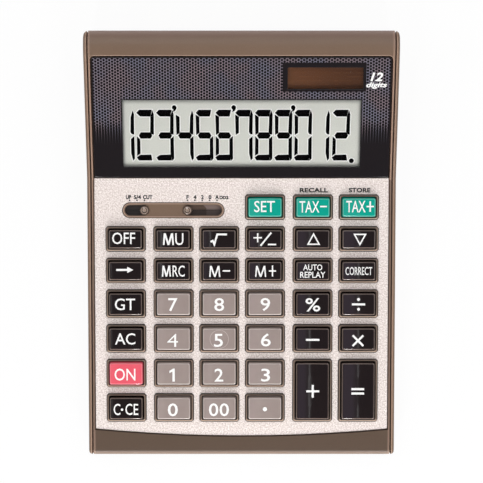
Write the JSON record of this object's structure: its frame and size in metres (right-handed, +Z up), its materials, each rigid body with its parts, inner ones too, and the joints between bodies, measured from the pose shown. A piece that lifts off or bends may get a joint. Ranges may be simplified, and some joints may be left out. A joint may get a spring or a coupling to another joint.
{
  "type": "desktop calculator",
  "caption": "Wedge-shaped desktop calculator with sprung keys in a metal key plate, two slide switches, a tilted display with a solar cell, and a sliding battery door.",
  "frame": {"origin": "on the resting surface, under the centre of the bounding box", "axes": "+X to the user's right, +Y from the user towards the display, +Z up"},
  "size_m": [0.15, 0.2054, 0.0409],
  "materials": {
    "case_plastic": "fine spark-eroded grain, satin, warm brown",
    "plate_aluminium": "blasted and anodised champagne",
    "black_key_plastic": "polished black with white moulded legends",
    "grey_key_plastic": "semi-gloss warm grey with white moulded legends",
    "green_key_plastic": "semi-gloss green with white moulded legends",
    "pink_key_plastic": "semi-gloss pink with white moulded legends",
    "window_acrylic": "polished acrylic, printed black behind",
    "lcd_glass": "grey-green reflective display",
    "solar_glass": "brown amorphous cell under glass",
    "ribbon_film": "amber polyimide film",
    "board_laminate": "green solder mask",
    "keypad_silicone": "moulded silicone",
    "cell_jacket": "printed steel jacket",
    "zinc_steel": "bright zinc plating",
    "foot_rubber": "matt black"
  },
  "bodies": {
    "case": {"lower_case": "case_plastic", "upper_case": "case_plastic", "face_plate": "plate_aluminium", "display_window": "window_acrylic", "lcd_panel": "lcd_glass", "lcd_ribbon": "ribbon_film", "solar_cell": "solar_glass", "main_board": "board_laminate", "rubber_keypad": "keypad_silicone", "battery_cell": "cell_jacket", "battery_spring": "zinc_steel", "battery_contact": "zinc_steel", "case_screw_front_left": "zinc_steel", "foot_front_left": "foot_rubber", "case_screw_front_right": "zinc_steel", "foot_front_right": "foot_rubber", "case_screw_rear_left": "zinc_steel", "foot_rear_left": "foot_rubber", "case_screw_rear_right": "zinc_steel", "foot_rear_right": "foot_rubber"},
    "key_clear": {"key_clear": "black_key_plastic"},
    "key_0": {"key_0": "grey_key_plastic"},
    "key_00": {"key_00": "grey_key_plastic"},
    "key_point": {"key_point": "grey_key_plastic"},
    "key_on": {"key_on": "pink_key_plastic"},
    "key_1": {"key_1": "grey_key_plastic"},
    "key_2": {"key_2": "grey_key_plastic"},
    "key_3": {"key_3": "grey_key_plastic"},
    "key_ac": {"key_ac": "black_key_plastic"},
    "key_4": {"key_4": "grey_key_plastic"},
    "key_5": {"key_5": "grey_key_plastic"},
    "key_6": {"key_6": "grey_key_plastic"},
    "key_minus": {"key_minus": "black_key_plastic"},
    "key_multiply": {"key_multiply": "black_key_plastic"},
    "key_gt": {"key_gt": "black_key_plastic"},
    "key_7": {"key_7": "grey_key_plastic"},
    "key_8": {"key_8": "grey_key_plastic"},
    "key_9": {"key_9": "grey_key_plastic"},
    "key_percent": {"key_percent": "black_key_plastic"},
    "key_divide": {"key_divide": "black_key_plastic"},
    "key_backspace": {"key_backspace": "black_key_plastic"},
    "key_mrc": {"key_mrc": "black_key_plastic"},
    "key_m_minus": {"key_m_minus": "black_key_plastic"},
    "key_m_plus": {"key_m_plus": "black_key_plastic"},
    "key_auto_replay": {"key_auto_replay": "black_key_plastic"},
    "key_correct": {"key_correct": "black_key_plastic"},
    "key_off": {"key_off": "black_key_plastic"},
    "key_mu": {"key_mu": "black_key_plastic"},
    "key_root": {"key_root": "black_key_plastic"},
    "key_sign": {"key_sign": "black_key_plastic"},
    "key_step_up": {"key_step_up": "black_key_plastic"},
    "key_step_down": {"key_step_down": "black_key_plastic"},
    "key_set": {"key_set": "green_key_plastic"},
    "key_tax_minus": {"key_tax_minus": "green_key_plastic"},
    "key_tax_plus": {"key_tax_plus": "green_key_plastic"},
    "key_plus": {"key_plus": "black_key_plastic"},
    "key_equals": {"key_equals": "black_key_plastic"},
    "rounding_knob": {"rounding_knob": "case_plastic"},
    "decimal_knob": {"decimal_knob": "case_plastic"},
    "battery_door": {"battery_door": "case_plastic"}
  },
  "joints": [
    {"name": "key_clear_press", "type": "slide", "parent": "case", "child": "key_clear", "axis": [0, -0.075, 0.9972], "range_m": [-0.0018, 0], "stiffness_N_per_m": 300, "springref_m": 0.0008, "deforming": ["rubber_keypad"]},
    {"name": "key_0_press", "type": "slide", "parent": "case", "child": "key_0", "axis": [0, -0.075, 0.9972], "range_m": [-0.0018, 0], "stiffness_N_per_m": 300, "springref_m": 0.0008, "deforming": ["rubber_keypad"]},
    {"name": "key_00_press", "type": "slide", "parent": "case", "child": "key_00", "axis": [0, -0.075, 0.9972], "range_m": [-0.0018, 0], "stiffness_N_per_m": 300, "springref_m": 0.0008, "deforming": ["rubber_keypad"]},
    {"name": "key_point_press", "type": "slide", "parent": "case", "child": "key_point", "axis": [0, -0.075, 0.9972], "range_m": [-0.0018, 0], "stiffness_N_per_m": 300, "springref_m": 0.0008, "deforming": ["rubber_keypad"]},
    {"name": "key_on_press", "type": "slide", "parent": "case", "child": "key_on", "axis": [0, -0.075, 0.9972], "range_m": [-0.0018, 0], "stiffness_N_per_m": 300, "springref_m": 0.0008, "deforming": ["rubber_keypad"]},
    {"name": "key_1_press", "type": "slide", "parent": "case", "child": "key_1", "axis": [0, -0.075, 0.9972], "range_m": [-0.0018, 0], "stiffness_N_per_m": 300, "springref_m": 0.0008, "deforming": ["rubber_keypad"]},
    {"name": "key_2_press", "type": "slide", "parent": "case", "child": "key_2", "axis": [0, -0.075, 0.9972], "range_m": [-0.0018, 0], "stiffness_N_per_m": 300, "springref_m": 0.0008, "deforming": ["rubber_keypad"]},
    {"name": "key_3_press", "type": "slide", "parent": "case", "child": "key_3", "axis": [0, -0.075, 0.9972], "range_m": [-0.0018, 0], "stiffness_N_per_m": 300, "springref_m": 0.0008, "deforming": ["rubber_keypad"]},
    {"name": "key_ac_press", "type": "slide", "parent": "case", "child": "key_ac", "axis": [0, -0.075, 0.9972], "range_m": [-0.0018, 0], "stiffness_N_per_m": 300, "springref_m": 0.0008, "deforming": ["rubber_keypad"]},
    {"name": "key_4_press", "type": "slide", "parent": "case", "child": "key_4", "axis": [0, -0.075, 0.9972], "range_m": [-0.0018, 0], "stiffness_N_per_m": 300, "springref_m": 0.0008, "deforming": ["rubber_keypad"]},
    {"name": "key_5_press", "type": "slide", "parent": "case", "child": "key_5", "axis": [0, -0.075, 0.9972], "range_m": [-0.0018, 0], "stiffness_N_per_m": 300, "springref_m": 0.0008, "deforming": ["rubber_keypad"]},
    {"name": "key_6_press", "type": "slide", "parent": "case", "child": "key_6", "axis": [0, -0.075, 0.9972], "range_m": [-0.0018, 0], "stiffness_N_per_m": 300, "springref_m": 0.0008, "deforming": ["rubber_keypad"]},
    {"name": "key_minus_press", "type": "slide", "parent": "case", "child": "key_minus", "axis": [0, -0.075, 0.9972], "range_m": [-0.0018, 0], "stiffness_N_per_m": 300, "springref_m": 0.0008, "deforming": ["rubber_keypad"]},
    {"name": "key_multiply_press", "type": "slide", "parent": "case", "child": "key_multiply", "axis": [0, -0.075, 0.9972], "range_m": [-0.0018, 0], "stiffness_N_per_m": 300, "springref_m": 0.0008, "deforming": ["rubber_keypad"]},
    {"name": "key_gt_press", "type": "slide", "parent": "case", "child": "key_gt", "axis": [0, -0.075, 0.9972], "range_m": [-0.0018, 0], "stiffness_N_per_m": 300, "springref_m": 0.0008, "deforming": ["rubber_keypad"]},
    {"name": "key_7_press", "type": "slide", "parent": "case", "child": "key_7", "axis": [0, -0.075, 0.9972], "range_m": [-0.0018, 0], "stiffness_N_per_m": 300, "springref_m": 0.0008, "deforming": ["rubber_keypad"]},
    {"name": "key_8_press", "type": "slide", "parent": "case", "child": "key_8", "axis": [0, -0.075, 0.9972], "range_m": [-0.0018, 0], "stiffness_N_per_m": 300, "springref_m": 0.0008, "deforming": ["rubber_keypad"]},
    {"name": "key_9_press", "type": "slide", "parent": "case", "child": "key_9", "axis": [0, -0.075, 0.9972], "range_m": [-0.0018, 0], "stiffness_N_per_m": 300, "springref_m": 0.0008, "deforming": ["rubber_keypad"]},
    {"name": "key_percent_press", "type": "slide", "parent": "case", "child": "key_percent", "axis": [0, -0.075, 0.9972], "range_m": [-0.0018, 0], "stiffness_N_per_m": 300, "springref_m": 0.0008, "deforming": ["rubber_keypad"]},
    {"name": "key_divide_press", "type": "slide", "parent": "case", "child": "key_divide", "axis": [0, -0.075, 0.9972], "range_m": [-0.0018, 0], "stiffness_N_per_m": 300, "springref_m": 0.0008, "deforming": ["rubber_keypad"]},
    {"name": "key_backspace_press", "type": "slide", "parent": "case", "child": "key_backspace", "axis": [0, -0.075, 0.9972], "range_m": [-0.0018, 0], "stiffness_N_per_m": 300, "springref_m": 0.0008, "deforming": ["rubber_keypad"]},
    {"name": "key_mrc_press", "type": "slide", "parent": "case", "child": "key_mrc", "axis": [0, -0.075, 0.9972], "range_m": [-0.0018, 0], "stiffness_N_per_m": 300, "springref_m": 0.0008, "deforming": ["rubber_keypad"]},
    {"name": "key_m_minus_press", "type": "slide", "parent": "case", "child": "key_m_minus", "axis": [0, -0.075, 0.9972], "range_m": [-0.0018, 0], "stiffness_N_per_m": 300, "springref_m": 0.0008, "deforming": ["rubber_keypad"]},
    {"name": "key_m_plus_press", "type": "slide", "parent": "case", "child": "key_m_plus", "axis": [0, -0.075, 0.9972], "range_m": [-0.0018, 0], "stiffness_N_per_m": 300, "springref_m": 0.0008, "deforming": ["rubber_keypad"]},
    {"name": "key_auto_replay_press", "type": "slide", "parent": "case", "child": "key_auto_replay", "axis": [0, -0.075, 0.9972], "range_m": [-0.0018, 0], "stiffness_N_per_m": 300, "springref_m": 0.0008, "deforming": ["rubber_keypad"]},
    {"name": "key_correct_press", "type": "slide", "parent": "case", "child": "key_correct", "axis": [0, -0.075, 0.9972], "range_m": [-0.0018, 0], "stiffness_N_per_m": 300, "springref_m": 0.0008, "deforming": ["rubber_keypad"]},
    {"name": "key_off_press", "type": "slide", "parent": "case", "child": "key_off", "axis": [0, -0.075, 0.9972], "range_m": [-0.0018, 0], "stiffness_N_per_m": 300, "springref_m": 0.0008, "deforming": ["rubber_keypad"]},
    {"name": "key_mu_press", "type": "slide", "parent": "case", "child": "key_mu", "axis": [0, -0.075, 0.9972], "range_m": [-0.0018, 0], "stiffness_N_per_m": 300, "springref_m": 0.0008, "deforming": ["rubber_keypad"]},
    {"name": "key_root_press", "type": "slide", "parent": "case", "child": "key_root", "axis": [0, -0.075, 0.9972], "range_m": [-0.0018, 0], "stiffness_N_per_m": 300, "springref_m": 0.0008, "deforming": ["rubber_keypad"]},
    {"name": "key_sign_press", "type": "slide", "parent": "case", "child": "key_sign", "axis": [0, -0.075, 0.9972], "range_m": [-0.0018, 0], "stiffness_N_per_m": 300, "springref_m": 0.0008, "deforming": ["rubber_keypad"]},
    {"name": "key_step_up_press", "type": "slide", "parent": "case", "child": "key_step_up", "axis": [0, -0.075, 0.9972], "range_m": [-0.0018, 0], "stiffness_N_per_m": 300, "springref_m": 0.0008, "deforming": ["rubber_keypad"]},
    {"name": "key_step_down_press", "type": "slide", "parent": "case", "child": "key_step_down", "axis": [0, -0.075, 0.9972], "range_m": [-0.0018, 0], "stiffness_N_per_m": 300, "springref_m": 0.0008, "deforming": ["rubber_keypad"]},
    {"name": "key_set_press", "type": "slide", "parent": "case", "child": "key_set", "axis": [0, -0.075, 0.9972], "range_m": [-0.0018, 0], "stiffness_N_per_m": 300, "springref_m": 0.0008, "deforming": ["rubber_keypad"]},
    {"name": "key_tax_minus_press", "type": "slide", "parent": "case", "child": "key_tax_minus", "axis": [0, -0.075, 0.9972], "range_m": [-0.0018, 0], "stiffness_N_per_m": 300, "springref_m": 0.0008, "deforming": ["rubber_keypad"]},
    {"name": "key_tax_plus_press", "type": "slide", "parent": "case", "child": "key_tax_plus", "axis": [0, -0.075, 0.9972], "range_m": [-0.0018, 0], "stiffness_N_per_m": 300, "springref_m": 0.0008, "deforming": ["rubber_keypad"]},
    {"name": "key_plus_press", "type": "slide", "parent": "case", "child": "key_plus", "axis": [0, -0.075, 0.9972], "range_m": [-0.0018, 0], "stiffness_N_per_m": 300, "springref_m": 0.0008, "deforming": ["rubber_keypad"]},
    {"name": "key_equals_press", "type": "slide", "parent": "case", "child": "key_equals", "axis": [0, -0.075, 0.9972], "range_m": [-0.0018, 0], "stiffness_N_per_m": 300, "springref_m": 0.0008, "deforming": ["rubber_keypad"]},
    {"name": "rounding_slide", "type": "slide", "parent": "case", "child": "rounding_knob", "axis": [1, 0, 0], "range_m": [-0.0072, 0]},
    {"name": "decimal_slide", "type": "slide", "parent": "case", "child": "decimal_knob", "axis": [1, 0, 0], "range_m": [0, 0.0144]},
    {"name": "battery_door_slide", "type": "slide", "parent": "case", "child": "battery_door", "axis": [0, 1, 0], "range_m": [0, 0.026]}
  ]
}
